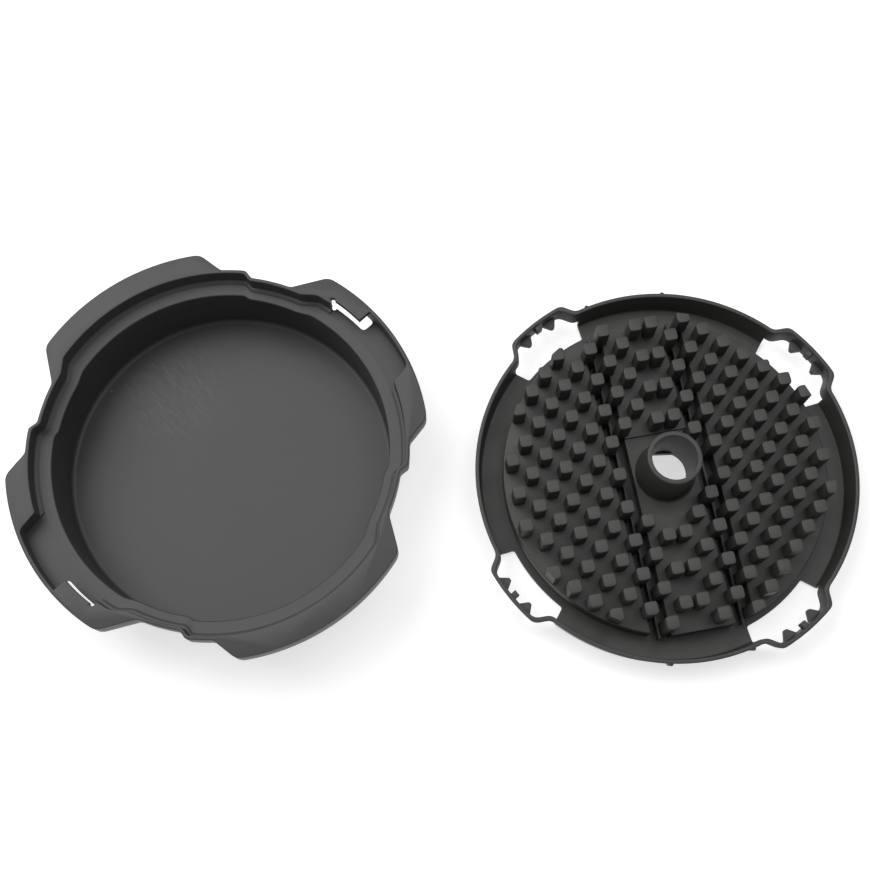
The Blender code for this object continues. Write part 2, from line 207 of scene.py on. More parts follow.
TUBE_FOOT_ROUND = 0.0014
BORE_R = 0.0105
BORE_FLAT = 0.0094
BORE_FLAT_HEIGHT = 0.0030
BORE_FLAT_TURN = 8.7
TUBE_LOW = HUB_HEIGHT - SKIN
TUBE_SEAT = 0.0001

# Finish of the plastic: hairlines are a turn, a scale along and across, and the noise they begin and end at
NOISE_ROUGHNESS = 0.55
CLOUD_SCALE = 24.0
SPARK_SCALE = 1900.0
HAIRS = (0.0, 60.0, 2600.0, 0.66, 0.74)
CROSS_HAIRS = (74.0, 45.0, 2300.0, 0.68, 0.75)
RUBBED_HAIRS = (-12.0, 170.0, 2100.0, 0.44, 0.66)
HAIR_PATCHES = (70.0, 0.50, 0.62)
CROSS_PATCHES = (55.0, 0.54, 0.64)
RUBBED_LOW = 0.0015
RUBBED_HIGH = 0.0035
RUBBED_CORE = 0.4
SPECK_SCALE = 150.0
SPECK_R = 0.07
SPECK_COVER = 0.6
SPECK_COLOUR = (0.42, 0.42, 0.40, 1.0)
BASE_TONE = 0.62
CLOUD_TONE = 0.24
SPARK_TONE = 0.56
HAIR_TONE = 0.30
BASE_ROUGHNESS = 0.47
CLOUD_ROUGHNESS = 0.08
RUBBED_ROUGHNESS = 0.05
SPECK_ROUGHNESS = 0.3
SPARK_RELIEF = 0.6
HAIR_RELIEF = 0.25
SPECK_RELIEF = 0.8
RELIEF_STRENGTH = 0.35
RELIEF_DEPTH = 0.00005

# What sets each piece's plastic apart; the worn patch is its place off the piece's middle, and its reach
TRAY_GRAIN = -38.0
TRAY_DUST = 0.030
TRAY_BRUSHED = 0.40
TRAY_TINT = (0.0440, 0.0440, 0.0438)
TRAY_WORN = (-0.033, 0.040, 0.034)
PLATE_GRAIN = 118.0
PLATE_DUST = 0.015
PLATE_BRUSHED = 0.10
PLATE_TINT = (0.0410, 0.0415, 0.0385)
PLATE_WORN = (0.0, 0.0, 0.060)

# Studio
TABLE_SIZE = 4.0
TABLE_COLOUR = (0.60, 0.60, 0.60, 1.0)
TABLE_ROUGHNESS = 0.8
TABLE_GLOW = 0.62
WHITE = (1.0, 1.0, 1.0, 1.0)
SURROUND_GLOW = 0.33
LAMPS = (
    ("overhead", (-0.62, 0.44, 1.05), 1.00, 11.0),
    ("fill", (0.42, 0.35, 1.30), 0.7, 4.2),
)
SENSOR = 36.0
LENS = 48.34
EYE_FROM_PLATE = (-0.10137, -0.14694, 0.55634)
EYE_TURN = (16.834, 0.769, 0.782)


# Outlines, drawn clockwise as seen from above


def spot(radius, clockwise):
    angle = math.radians(clockwise)
    return (radius * math.sin(angle), radius * math.cos(angle))


def arc(radius, start, end, step=1.5):
    count = max(1, round(abs(end - start) / step))
    return [spot(radius, start + (end - start) * i / count) for i in range(count + 1)]


def circle(radius, steps=144):
    return [spot(radius, 360.0 * i / steps) for i in range(steps)]


def between(a, b, share):
    return (a[0] + (b[0] - a[0]) * share, a[1] + (b[1] - a[1]) * share)


def rounded(points, reaches, steps=5):
    """The closed outline with a curve at each corner, begun and ended at its reach from it."""
    total = len(points)
    curves = {}
    dropped = set()
    for corner, reach in reaches.items():
        ends = []
        for way in (-1, 1):
            left = reach
            here = corner
            there = (here + way) % total
            while math.dist(points[here], points[there]) < left:
                left -= math.dist(points[here], points[there])
                here = there
                dropped.add(here)
                there = (here + way) % total
            share = left / math.dist(points[here], points[there])
            ends.append(between(points[here], points[there], share))
        curve = []
        for i in range(steps + 1):
            share = i / steps
            towards = between(ends[0], points[corner], share)
            onwards = between(points[corner], ends[1], share)
            curve.append(between(towards, onwards, share))
        curves[corner] = curve
    result = []
    for index, point in enumerate(points):
        if index in curves:
            result += curves[index]
        elif index not in dropped:
            result.append(point)
    return [point for i, point in enumerate(result) if math.dist(point, result[i - 1]) > NEAREST]


def joined_arcs(stretches, middles, reaches):
    """Arcs of radius, start and end joined by straight lines, repeated round each middle."""
    points = []
    corners = {}
    for middle in middles:
        for (radius, start, end), reach in zip(stretches, reaches):
            corners[len(points)] = reach[0]
            points += arc(radius, middle + start, middle + end)
            corners[len(points) - 1] = reach[1]
    return rounded(points, corners)


def shifted(outline, distance):
    """The outline moved outwards by this distance along its own normals, point for point."""
    moved = []
    total = len(outline)
    for i, (x, y) in enumerate(outline):
        before = outline[i - 1]
        after = outline[(i + 1) % total]
        one = Vector((before[1] - y, x - before[0])).normalized()
        two = Vector((y - after[1], after[0] - x)).normalized()
        reach = (one + two) * (distance / (1.0 + one.dot(two)))
        moved.append((x + reach.x, y + reach.y))
    return moved


def pulled(outline, distance):
    """The outline with every point drawn this far towards the centre."""
    moved = []
    for x, y in outline:
        away = math.hypot(x, y)
        moved.append((x * (1.0 - distance / away), y * (1.0 - distance / away)))
    return moved


def circled(outline, radius):
    """The outline with every point put at this radius."""
    return [(x * radius / math.hypot(x, y), y * radius / math.hypot(x, y)) for x, y in outline]


def sector(r_in, r_out, start, end, end_in=None):
    inner = arc(r_in, start, end if end_in is None else end_in)
    return arc(r_out, start, end) + list(reversed(inner))


def turned_to(outline, clockwise):
    angle = math.radians(clockwise)
    sin = math.sin(angle)
    cos = math.cos(angle)
    return [(x * cos + y * sin, y * cos - x * sin) for x, y in outline]


def quarter_round(radius, steps=3):
    """Pairs of inset and drop for an edge of this radius, from the side up to the top."""
    pairs = []
    for i in range(steps + 1):
        angle = math.radians(90.0 * i / steps)
        pairs.append((radius * (1.0 - math.cos(angle)), radius * (1.0 - math.sin(angle))))
    return pairs


# Solids


def piece(name, bm):
    """The drawn mesh as an object of the scene, with its faces pointing outwards."""
    bmesh.ops.recalc_face_normals(bm, faces=bm.faces)
    mesh = bpy.data.meshes.new(name)
    bm.to_mesh(mesh)
    bm.free()
    made = bpy.data.objects.new(name, mesh)
    bpy.context.scene.collection.objects.link(made)
    return made


def stack(name, rings):
    """A closed solid through rings of equal point count, each an outline with its height."""
    bm = bmesh.new()
    layers = [[bm.verts.new((x, y, height)) for x, y in outline] for outline, height in rings]
    count = len(layers[0])
    for low, high in zip(layers, layers[1:]):
        for i in range(count):
            j = (i + 1) % count
            bm.faces.new((low[i], low[j], high[j], high[i]))
    bm.faces.new(list(reversed(layers[0])))
    bm.faces.new(layers[-1])
    return piece(name, bm)


def prism(name, outline, low, high):
    return stack(name, [(outline, low), (outline, high)])


def block(name, x0, x1, y0, y1, low, high):
    return prism(name, [(x0, y0), (x0, y1), (x1, y1), (x1, y0)], low, high)


def soft_prism(name, outline, low, high, edge):
    """A prism whose upper edge is rounded."""
    rings = [(outline, low)]
    rings += [(shifted(outline, -inset), high - drop) for inset, drop in quarter_round(edge)]
    return stack(name, rings)


def mouth(name, outline, low, high, edge=EDGE):
    """A cutter that leaves a rounded edge where it comes out of a flat top."""
    rings = [(outline, low)]
    rings += [(shifted(outline, inset), high - drop) for inset, drop in quarter_round(edge)]
    rings.append((shifted(outline, edge), high + OVER))
    return stack(name, rings)


def evaluated(made):
    graph = bpy.context.evaluated_depsgraph_get()
    graph.update()
    return bpy.data.meshes.new_from_object(made.evaluated_get(graph))


def settle(made):
    """Turns what the modifiers give into the solid's own mesh."""
    mesh = evaluated(made)
    made.modifiers.clear()
    made.data = mesh


def combine(target, others, operation):
    for other in others:
        step = target.modifiers.new("step", "BOOLEAN")
        step.operation = operation
        step.solver = "EXACT"
        step.object = other
        settle(target)
        bpy.data.objects.remove(other, do_unlink=True)


def soften(made, width, segments=2, limit=40.0):
    """Rounds the edges that are sharper than the limit."""
    step = made.modifiers.new("edges", "BEVEL")
    step.width = width
    step.segments = segments
    step.limit_method = "ANGLE"
    step.angle_limit = math.radians(limit)
    step.use_clamp_overlap = True
    settle(made)


def centre_of(node):
    low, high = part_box(node)
    return ((low[0] + high[0]) / 2, (low[1] + high[1]) / 2)


def finish_piece(made, node, material):
    """Lays the piece where its CAD node lies, shades it and hands it to the frame."""
    x_mid, y_mid = centre_of(node)
    angle = math.radians(TURN)
    sin = math.sin(angle)
    cos = math.cos(angle)
    bm = bmesh.new()
    bm.from_mesh(made.data)
    bmesh.ops.remove_doubles(bm, verts=bm.verts, dist=MERGE)
    for vertex in bm.verts:
        x, y, z = vertex.co
        vertex.co = (x * cos - y * sin + x_mid, x * sin + y * cos + y_mid, z)
    bm.to_mesh(made.data)
    bm.free()
    made.data.shade_smooth()
    made.data.set_sharp_from_angle(angle=math.radians(SMOOTH_BELOW))
    made.data.materials.clear()
    made.data.materials.append(material)
    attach(made, "root")
    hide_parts(node)


# Node trees, for materials and for what repeats


class Value:
    """One socket of a tree; arithmetic on it adds the Math nodes."""

    def __init__(self, bench, socket):
        self.bench = bench
        self.socket = socket

    def maths(self, operation, *terms):
        made = self.bench.add("ShaderNodeMath", {"operation": operation}, dict(enumerate(terms)))
        return Value(self.bench, made.outputs[0])

    def __add__(self, other):
        return self.maths("ADD", self, other)

    def __radd__(self, other):
        return self.maths("ADD", other, self)

    def __sub__(self, other):
        return self.maths("SUBTRACT", self, other)

    def __rsub__(self, other):
        return self.maths("SUBTRACT", other, self)

    def __mul__(self, other):
        return self.maths("MULTIPLY", self, other)

    def __rmul__(self, other):
        return self.maths("MULTIPLY", other, self)

    def __truediv__(self, other):
        return self.maths("DIVIDE", self, other)

    def __mod__(self, other):
        return self.maths("FLOORED_MODULO", self, other)

    def __pow__(self, other):
        return self.maths("POWER", self, other)

    def __lt__(self, other):
        return self.maths("LESS_THAN", self, other)

    def __gt__(self, other):
        return self.maths("GREATER_THAN", self, other)

    def __abs__(self):
        return self.maths("ABSOLUTE", self)

    def __round__(self):
        return self.maths("ROUND", self)


class Bench:
    """Adds nodes to one tree."""

    def __init__(self, tree):
        self.tree = tree

    def add(self, kind, settings=None, sockets=None):
        made = self.tree.nodes.new(kind)
        for name, value in (settings or {}).items():
            setattr(made, name, value)
        for key, value in (sockets or {}).items():
            self.feed(made.inputs[key], value)
        return made

    def feed(self, socket, value):
        if isinstance(value, Value):
            value = value.socket
        if isinstance(value, bpy.types.NodeSocket):
            self.tree.links.new(value, socket)
        else:
            socket.default_value = value

    def value(self, node, output=0):
        return Value(self, node.outputs[output])

    def between(self, low, high, value):
        """0 below low, 1 above high, smooth between them."""
        made = self.add(
            "ShaderNodeMapRange",
            {"interpolation_type": "SMOOTHSTEP"},
            {"Value": value, "From Min": low, "From Max": high},
        )
        return self.value(made)


def tree_with_inputs(name, inputs):
    """A Geometry Nodes tree with these named inputs, its bench and both end nodes."""
    tree = bpy.data.node_groups.new(name, "GeometryNodeTree")
    tree.interface.new_socket("Geometry", in_out="INPUT", socket_type="NodeSocketGeometry")
    for label, kind in inputs.items():
        tree.interface.new_socket(label, in_out="INPUT", socket_type=kind)
    tree.interface.new_socket("Geometry", in_out="OUTPUT", socket_type="NodeSocketGeometry")
    bench = Bench(tree)
    return tree, bench, bench.add("NodeGroupInput"), bench.add("NodeGroupOutput")


def run_tree(made, tree, values):
    """Gives the piece what the tree makes of it with these values."""
    step = made.modifiers.new(tree.name, "NODES")
    step.node_group = tree
    for item in tree.interface.items_tree:
        if item.item_type == "SOCKET" and item.in_out == "INPUT" and item.name in values:
            step[item.identifier] = values[item.name]
    settle(made)


# Materials


def moulded_plastic(name, grain_turn, dust, brushed, tint, worn):
    """Matte black plastic: fine spark texture, one rubbed patch, hair scratches and dust."""
    material = bpy.data.materials.new(name)
    material.use_nodes = True
    bench = Bench(material.node_tree)
    shader = material.node_tree.nodes["Principled BSDF"]
    where = bench.add("ShaderNodeTexCoord").outputs["Object"]
    height = bench.value(bench.add("ShaderNodeSeparateXYZ", None, {0: where}), "Z")

    def noise(scale, detail, vector=where):
        sockets = {"Vector": vector, "Scale": scale, "Detail": detail, "Roughness": NOISE_ROUGHNESS}
        return bench.value(bench.add("ShaderNodeTexNoise", None, sockets))

    def strokes(turn, along, across, low, high):
        """Hairlines that run one way."""
        lie = bench.add(
            "ShaderNodeMapping",
            {"vector_type": "TEXTURE"},
            {
                "Vector": where,
                "Rotation": (0.0, 0.0, math.radians(grain_turn + turn)),
                "Scale": (1.0 / along, 1.0 / across, 1.0 / along),
            },
        )
        return bench.between(low, high, noise(1.0, 2.0, lie.outputs[0]))

    def patches(scale, low, high):
        """Where hairlines gather."""
        return bench.between(low, high, noise(scale, 1.0))

    cloud = noise(CLOUD_SCALE, 3.0)
    spark = noise(SPARK_SCALE, 2.0)
    hairs = strokes(*HAIRS) * patches(*HAIR_PATCHES) + strokes(*CROSS_HAIRS) * patches(*CROSS_PATCHES)
    x_worn, y_worn, reach = worn
    sockets = {0: where, 1: (x_worn, y_worn, SKIN)}
    apart = bench.add("ShaderNodeVectorMath", {"operation": "DISTANCE"}, sockets)
    near = bench.between(reach, reach * RUBBED_CORE, bench.value(apart, "Value"))
    on_floor = bench.between(RUBBED_HIGH, RUBBED_LOW, height)
    rub = strokes(*RUBBED_HAIRS) * near * on_floor
    sockets = {"Vector": where, "Scale": SPECK_SCALE, "Randomness": 1.0}
    cells = bench.add("ShaderNodeTexVoronoi", None, sockets)
    chosen = bench.value(bench.add("ShaderNodeSeparateColor", None, {0: cells.outputs["Color"]}))
    specks = (bench.value(cells, "Distance") < SPECK_R) * (chosen < dust)

    tone = BASE_TONE + cloud * CLOUD_TONE + spark * SPARK_TONE + hairs * HAIR_TONE + rub * brushed
    sockets = {channel: tone * share for channel, share in enumerate(tint)}
    base = bench.add("ShaderNodeCombineColor", None, sockets)
    sockets = {"Factor": specks * SPECK_COVER, "A": base.outputs[0], "B": SPECK_COLOUR}
    dusty = bench.add("ShaderNodeMix", {"data_type": "RGBA"}, sockets)
    rough = BASE_ROUGHNESS + cloud * CLOUD_ROUGHNESS - rub * RUBBED_ROUGHNESS + specks * SPECK_ROUGHNESS
    relief = spark * SPARK_RELIEF + hairs * HAIR_RELIEF + specks * SPECK_RELIEF
    sockets = {"Strength": RELIEF_STRENGTH, "Distance": RELIEF_DEPTH, "Height": relief}
    bump = bench.add("ShaderNodeBump", None, sockets)
    bench.feed(shader.inputs["Base Color"], dusty.outputs["Result"])
    bench.feed(shader.inputs["Roughness"], rough)
    bench.feed(shader.inputs["Normal"], bump.outputs[0])
    return material


# Tray

TRAY_QUARTERS = [LOBE_TURN + quarter for quarter in QUARTERS]


def crown_outline():
    stretches = [
        (LOBE_R, -LOBE_HALF, LOBE_HALF),
        (SHELF_R, SHELF_START, SHELF_END),
        (NOTCH_R, NOTCH_START, NOTCH_END),
    ]
    reaches = [(LOBE_ROUND, LOBE_ROUND), (SHELF_ROUND, STEP_ROUND), (STEP_ROUND, SHELF_ROUND)]
    return joined_arcs(stretches, TRAY_QUARTERS, reaches)


def recess_outline():
    next_lobe = QUARTER - LOBE_HALF
    stretches = [
        (SHELF_R - CROWN_WALL, -LOBE_HALF, SHELF_END - RECESS_SHIFT),
        (NOTCH_R - CROWN_WALL, NOTCH_START - RECESS_SHIFT, next_lobe - RECESS_LEAD),
    ]
    reaches = [(STEP_ROUND, STEP_ROUND), (STEP_ROUND, STEP_ROUND)]
    return joined_arcs(stretches, TRAY_QUARTERS, reaches)


def tray_body():
    """Bowl wall with its foot rounded, and the crown with its lobes on top."""
    crown = crown_outline()
    shoulder = TRAY_HEIGHT - CROWN_DEPTH
    wall_r = BOWL_R + SKIN
    edge = quarter_round(EDGE)
    foot = reversed(quarter_round(FLOOR_ROUND))
    rings = [(circled(crown, wall_r - inset), drop) for inset, drop in foot]
    rings.append((circled(crown, wall_r), shoulder))
    rings += [(shifted(crown, -inset), shoulder + drop) for inset, drop in reversed(edge)]
    rings += [(shifted(crown, -inset), TRAY_HEIGHT - drop) for inset, drop in edge]
    return stack("tray_shell", rings)


def bowl_ring(recess, outwards):
    """The bowl's mouth, drawn in below the shallow stretches of the recess."""
    main = SHELF_R - CROWN_WALL
    depth = SHELF_R - NOTCH_R
    ring = []
    for x, y in recess:
        away = math.hypot(x, y)
        radius = BOWL_R + outwards - BOWL_INSET * (main - away) / depth
        ring.append((x * radius / away, y * radius / away))
    return ring


def tray_hollow():
    """Everything open above the floor: the bowl, the ledge round its mouth and the recess."""
    recess = recess_outline()
    ledge = TRAY_HEIGHT - RECESS_DEPTH
    low_ledge = ledge - LEDGE_STEP
    rings = []
    for inset, drop in reversed(quarter_round(FLOOR_FILLET, 6)):
        rings.append((circled(recess, BOWL_R - inset), SKIN + drop))
    rings.append((circled(recess, BOWL_R), low_ledge - MOUTH_DEPTH))
    for inset, drop in quarter_round(BOWL_EDGE, 4):
        rings.append((bowl_ring(recess, inset), low_ledge - drop))
    near = shifted(recess, -LEDGE_FILLET)
    slope = LEDGE_ONE - LEDGE_FILLET
    rings.append((pulled(near, slope + LEDGE_SLOPE + SLOPE_REACH), low_ledge))
    rings.append((pulled(near, slope + LEDGE_SLOPE * SLOPE_FAR), low_ledge + SLOPE_DROP))
    rings.append((pulled(near, slope + LEDGE_SLOPE * SLOPE_NEAR), ledge - SLOPE_DROP))
    rings.append((pulled(near, slope - SLOPE_REACH), ledge))
    for inset, drop in reversed(quarter_round(LEDGE_FILLET, 3)):
        rings.append((shifted(recess, -inset), ledge + drop))
    rings += [(shifted(recess, inset), TRAY_HEIGHT - drop) for inset, drop in quarter_round(EDGE)]
    rings.append((shifted(recess, EDGE), TRAY_HEIGHT + OVER))
    return stack("hollow", rings)


def lobe_cavities():
    """The open space under each lobe, seen only from below."""
    low = TRAY_HEIGHT - CROWN_DEPTH - OVER
    high = TRAY_HEIGHT - SKIN
    cutters = []
    for side, middle in enumerate(TRAY_QUARTERS):
        start = POCKET_END_IN + CAVITY_GAP if side in POCKET_LOBES else -LOBE_HALF + CAVITY_START
        end = LOBE_HALF - CAVITY_GAP
        outline = sector(SHELF_R, LOBE_R - CROWN_WALL, middle + start, middle + end)
        cutters.append(prism("cavity", outline, low, high))
    return cutters


def pocket_cutters(middle):
    """The open pocket, the space under its lip, the lip's free edge, and the window and the eye below."""
    ledge = TRAY_HEIGHT - RECESS_DEPTH
    low_ledge = ledge - LEDGE_STEP
    below = TRAY_HEIGHT - CROWN_DEPTH - OVER
    reach = LOBE_R - CROWN_WALL
    ends = (middle + POCKET_END_OUT, middle + POCKET_END_IN)
    pocket = sector(POCKET_R, reach, middle + LIP_END, *ends)
    pocket = rounded(pocket, {len(arc(reach, LIP_END, POCKET_END_OUT)) - 1: POCKET_ROUND})
    slot = sector(POCKET_R, reach, middle + LIP_START, middle + LIP_END + LIP_OVERLAP)
    edge = sector(POCKET_R, LIP_EDGE_R, middle + LIP_START, middle + LIP_END + LIP_OVERLAP)
    window = sector(WINDOW_R, reach, middle + LIP_START - SLOT_BACK, middle + WINDOW_END)
    half = len(window) // 2
    window = rounded(window, {half - 1: POCKET_ROUND, half: POCKET_ROUND})
    eye_x, eye_y = spot(EYE_MIDDLE, middle + LIP_START)
    eye = [(eye_x + x, eye_y + y) for x, y in circle(EYE_R, SMALL_STEPS)]
    return [
        mouth("pocket", pocket, low_ledge, TRAY_HEIGHT, CUT_EDGE),
        prism("slot", slot, low_ledge, TRAY_HEIGHT - LIP_THICKNESS),
        mouth("lip_edge", edge, low_ledge, TRAY_HEIGHT, CUT_EDGE),
        prism("window", window, below, TRAY_HEIGHT - LIP_THICKNESS),
        mouth("eye", eye, below, TRAY_HEIGHT, CUT_EDGE),
    ]


def build_tray(material):
    tray = tray_body()
    combine(tray, [tray_hollow()], "DIFFERENCE")
    combine(tray, lobe_cavities(), "DIFFERENCE")
    for side in POCKET_LOBES:
        combine(tray, pocket_cutters(TRAY_QUARTERS[side]), "DIFFERENCE")
    finish_piece(tray, "grid_tray", material)
    return tray


# Plate

LUG_QUARTERS = [LUG_TURN + quarter for quarter in QUARTERS]


def lean_out(height):
    """How far the rim's outer face stands inside its top edge at this height."""
    return RIM_LEAN * (RIM_HEIGHT - height) / (RIM_HEIGHT - FOOT_ROUND)


def lean_in(height):
    """How far the rim's inner face stands inside the top outer edge at this height."""
    return RIM_WALL + (FOOT_WALL - RIM_WALL) * (RIM_HEIGHT - height) / (RIM_HEIGHT - PLATE_FLOOR)


def rim_outline(inset):
    """The rim's outline out round each lug, drawn in by the inset, always with as many points."""
    narrow = math.degrees(inset / LUG_R) * LUG_NARROWING
    lug = (LUG_R - inset, -LUG_HALF + narrow, LUG_HALF - narrow, LUG_STEPS)
    rim = (RIM_R - inset, LUG_FOOT - narrow, QUARTER - LUG_FOOT + narrow, RIM_STEPS)
    points = []
    corners = {}
    for middle in LUG_QUARTERS:
        for radius, start, end, count in (lug, rim):
            corners[len(points)] = LUG_ROUND
            for i in range(count + 1):
                points.append(spot(radius, middle + start + (end - start) * i / count))
            corners[len(points) - 1] = LUG_ROUND
    return rounded(points, corners)


def plate_dish():
    """The floor and the rim, which leans outwards so that only its top edge shows from above."""
    foot = quarter_round(FOOT_ROUND)
    rings = [(rim_outline(lean_out(drop) + inset), drop) for inset, drop in reversed(foot)]
    for inset, drop in quarter_round(EDGE):
        rings.append((rim_outline(lean_out(RIM_HEIGHT - drop) + inset), RIM_HEIGHT - drop))
    hollow = []
    for inset, drop in reversed(quarter_round(RIM_FILLET)):
        hollow.append((rim_outline(lean_in(PLATE_FLOOR + drop) + inset), PLATE_FLOOR + drop))
    for inset, drop in quarter_round(EDGE):
        hollow.append((rim_outline(lean_in(RIM_HEIGHT - drop) - inset), RIM_HEIGHT - drop))
    hollow.append((rim_outline(RIM_WALL - EDGE), RIM_HEIGHT + OVER))
    dish = stack("plate_shell", rings)
    combine(dish, [stack("inside", hollow)], "DIFFERENCE")
    return dish


def lug_windows():
    """The open floor behind each lug; the cut runs on out below the lug, whose wall ends above it."""
    cutters = []
    for middle in LUG_QUARTERS:
        inner = arc(WINDOW_IN_R, middle - WINDOW_HALF_IN, middle + WINDOW_HALF_IN)
        outer = arc(LUG_R + OVER, middle - WINDOW_HALF, middle + WINDOW_HALF)
        gate = outer + list(reversed(inner))
        gate = rounded(gate, {corner: WINDOW_ROUND for corner in (len(outer), len(gate) - 1)})
        cutters.append(prism("window", gate, -OVER, LUG_LOW))
    return cutters


def ring_tree():
    """Copies the piece round the middle, one copy for each side."""
    tree, bench, start, end = tree_with_inputs(
        "copies_round_middle", {"Sides": "NodeSocketInt", "First turn": "NodeSocketFloat"}
    )
    sockets = {"Count": start.outputs["Sides"], "Offset": (0.0, 0.0, 0.0)}
    line = bench.add("GeometryNodeMeshLine", None, sockets)
    index = bench.value(bench.add("GeometryNodeInputIndex"))
    sides = Value(bench, start.outputs["Sides"])
    turn = (Value(bench, start.outputs["First turn"]) + index * 2.0 * math.pi / sides) * -1.0
    spin = bench.add("ShaderNodeCombineXYZ", None, {"Z": turn})
    copies = bench.add(
        "GeometryNodeInstanceOnPoints",
        None,
        {"Points": line.outputs[0], "Instance": start.outputs["Geometry"], "Rotation": spin.outputs[0]},
    )
    real = bench.add("GeometryNodeRealizeInstances", None, {0: copies.outputs[0]})
    bench.feed(end.inputs[0], real.outputs[0])
    return tree


def lug_fittings(tree):
    """Two pointed fins and a square stop inside each lug."""
    face = LUG_R - lean_in(FIN_LOW)
    wall = face + OVER
    half_foot = FIN_FOOT / 2
    half_tip = FIN_TIP / 2
    tip = face - FIN_REACH
    fin = [
        (-half_foot, wall),
        (half_foot, wall),
        (half_foot, face),
        (half_tip, tip),
        (-half_tip, tip),
        (-half_foot, face),
    ]
    fin = rounded(fin, {3: FIN_ROUND, 4: FIN_ROUND})
    half = STOP_WIDTH / 2
    face = LUG_R - lean_in(STOP_LOW)
    wall = face + OVER
    stop = [(-half, wall), (half, wall), (half, face - STOP_REACH), (-half, face - STOP_REACH)]
    made = []
    for turn in (-FIN_TURN, FIN_TURN):
        made.append(soft_prism("fin", turned_to(fin, turn), FIN_LOW, FIN_HIGH, FIN_EDGE))
    made.append(soft_prism("stop", stop, STOP_LOW, STOP_HIGH, STOP_EDGE))
    for one in made:
        run_tree(one, tree, {"Sides": SIDES, "First turn": math.radians(LUG_TURN)})
    return made


def rim_beads(tree):
    """Two upright beads on the rim's outer face, and two more half a turn on."""
    made = []
    for turn in (-BEAD_TURN, BEAD_TURN):
        rings = []
        for inset, drop in [(0.0, BEAD_HIGH - BEAD_LOW)] + quarter_round(BEAD_EDGE):
            x_mid, y_mid = spot(RIM_R - lean_out(BEAD_HIGH - drop), turn)
            ring = [(x_mid + x, y_mid + y) for x, y in circle(BEAD_R - inset, BEAD_STEPS)]
            rings.append((ring, BEAD_HIGH - drop))
        bead = stack("bead", rings)
        run_tree(bead, tree, {"Sides": 2, "First turn": 0.0})
        made.append(bead)
    return made


def deck():
    """The raised round deck, flat at both ends between the grooves, cut by two grooves and the pad."""
    groove_x = GROOVE_CELLS * PITCH
    half = GROOVE_WIDTH / 2
    outline = circle(DECK_R, ROUND_STEPS)
    raised = soft_prism("deck", outline, PLATE_FLOOR / 2, DECK_HEIGHT, DECK_ROUND)
    far = DECK_R + OVER
    low = PLATE_FLOOR - OVER
    high = DECK_HEIGHT + OVER
    strip = groove_x - half
    cuts = []
    for sign in (-1, 1):
        x = sign * groove_x
        y0, y1 = sorted((sign * DECK_FLAT, sign * far))
        cuts.append(block("groove", x - half, x + half, -far, far, low, high))
        cuts.append(block("flat", -strip, strip, y0, y1, low, high))
    reach = HUB_CELLS * PITCH
    cuts.append(block("pad", -strip, strip, -reach, reach, HUB_HEIGHT, high))
    combine(raised, cuts, "DIFFERENCE")
    return raised


def build_plate_shell(tree, material):
    plate = plate_dish()
    combine(plate, lug_windows(), "DIFFERENCE")
    combine(plate, lug_fittings(tree) + rim_beads(tree), "UNION")
    combine(plate, [deck()] + groove_ribs(), "UNION")
    combine(plate, underside_pockets(), "DIFFERENCE")
    combine(plate, [tube()], "UNION")
    combine(plate, [bore()], "DIFFERENCE")
    finish_piece(plate, "peg_plate", material)
    return plate


def groove_ribs():
    ribs = []
    for sign in (-1, 1):
        x = sign * GROOVE_CELLS * PITCH
        end = math.sqrt(RIB_REACH**2 - x**2)
        half = RIB_WIDTH / 2
        rib = block("rib", x - half, x + half, -end, end, PLATE_FLOOR / 2, RIB_HEIGHT)
        soften(rib, RIB_EDGE)
        ribs.append(rib)
    return ribs


def underside_pockets():
    """Plain hollows under the deck and the pad, which keep their walls thin."""
    high = DECK_HEIGHT - SKIN
    reach = HUB_CELLS * PITCH - SKIN
    groove = GROOVE_CELLS * PITCH
    side = groove + GROOVE_WIDTH / 2 + SKIN
    strip = groove - GROOVE_WIDTH / 2 - SKIN
    pad = HUB_CELLS * PITCH + SKIN
    far = DECK_R + OVER
    cutters = []
    for sign in (-1, 1):
        x0, x1 = sorted((sign * side, sign * far))
        y0, y1 = sorted((sign * pad, sign * far))
        cutters.append(block("outer", x0, x1, -far, far, -OVER, high))
        cutters.append(block("strip", -strip, strip, y0, y1, -OVER, high))
    for cutter in cutters:
        bound = prism("bound", circle(DECK_FLAT - SKIN), -2 * OVER, high + OVER)
        combine(cutter, [bound], "INTERSECT")
    cutters.append(block("under_pad", -strip, strip, -reach, reach, -OVER, HUB_HEIGHT - SKIN))
    return cutters


def tube():
    """The tube with a rounded foot; it ends level with the underside of the pad that it stands on."""
    foot = TUBE_R_FOOT + TUBE_FOOT_ROUND
    rings = [(circle(foot), TUBE_LOW), (circle(foot), HUB_HEIGHT - TUBE_SEAT)]
    for inset, drop in quarter_round(TUBE_FOOT_ROUND, 5):
        rings.append((circle(TUBE_R_FOOT + drop), HUB_HEIGHT + inset))
    rings += [(circle(TUBE_R_TOP - inset), TUBE_TOP - drop) for inset, drop in quarter_round(EDGE)]
    return stack("tube", rings)


def bore():
    """The hole through the tube, with a flat on one side at its lower end."""
    hole = mouth("bore", circle(BORE_R), -OVER, TUBE_TOP, CUT_EDGE)
    far = BORE_R + OVER
    corners = [(-far, BORE_FLAT), (-far, far), (far, far), (far, BORE_FLAT)]
    outline = turned_to(corners, BORE_FLAT_TURN)
    flat = prism("flat", outline, -2 * OVER, TUBE_LOW + BORE_FLAT_HEIGHT)
    combine(hole, [flat], "DIFFERENCE")
    return hole


# Peg field


